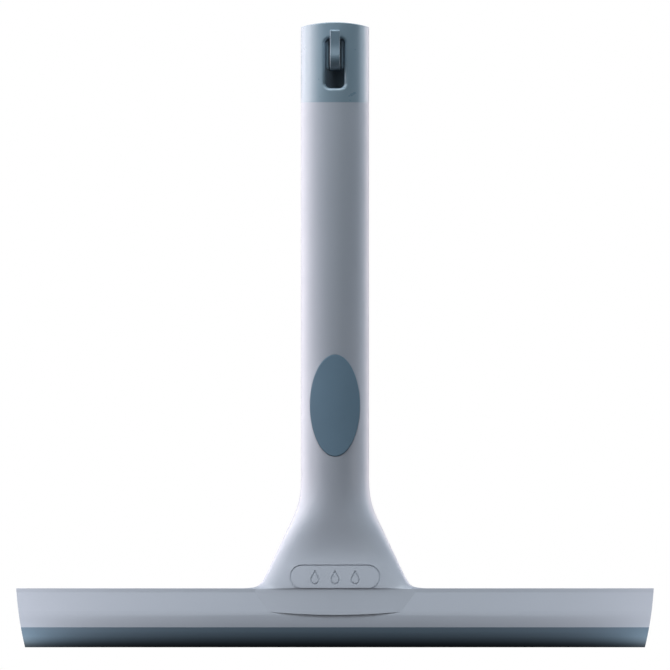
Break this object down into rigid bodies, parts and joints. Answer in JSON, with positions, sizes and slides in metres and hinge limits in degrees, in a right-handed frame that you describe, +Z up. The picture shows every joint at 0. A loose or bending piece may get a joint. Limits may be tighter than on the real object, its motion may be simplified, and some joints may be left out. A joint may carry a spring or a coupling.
{
  "type": "window cleaning squeegee",
  "caption": "T-shaped window and shower squeegee with a round handle, wide rubber blade and its own stick-on wall hook.",
  "frame": {"origin": "centre of the adhesive pad's wall face, in the wall plane", "axes": "+X along the head bar to the right as seen from the front, +Y into the wall, +Z up"},
  "size_m": [0.2532, 0.04, 0.2483],
  "materials": {
    "shell_plastic": "satin lilac-grey",
    "cap_plastic": "satin blue-grey",
    "hook_plastic": "satin blue-grey",
    "pad_rubber": "matt soft touch",
    "blade_rubber": "matt dark blue-grey",
    "seal_rubber": "matt black",
    "sticky_foam": "matt white foam",
    "screw_steel": "stainless"
  },
  "bodies": {
    "wall_mount": {"wall_hook": "hook_plastic", "adhesive_pad": "sticky_foam"},
    "squeegee": {"end_cap": "cap_plastic", "cap_seal": "seal_rubber", "front_shell": "shell_plastic", "rear_shell": "shell_plastic", "thumb_pad": "pad_rubber", "wiper_blade": "blade_rubber", "head_screws": "screw_steel", "handle_screws": "screw_steel"}
  },
  "joints": [
    {"name": "lift_off", "type": "slide", "parent": "wall_mount", "child": "squeegee", "axis": [0, 0, 1], "range_m": [0, 0.0063]}
  ]
}
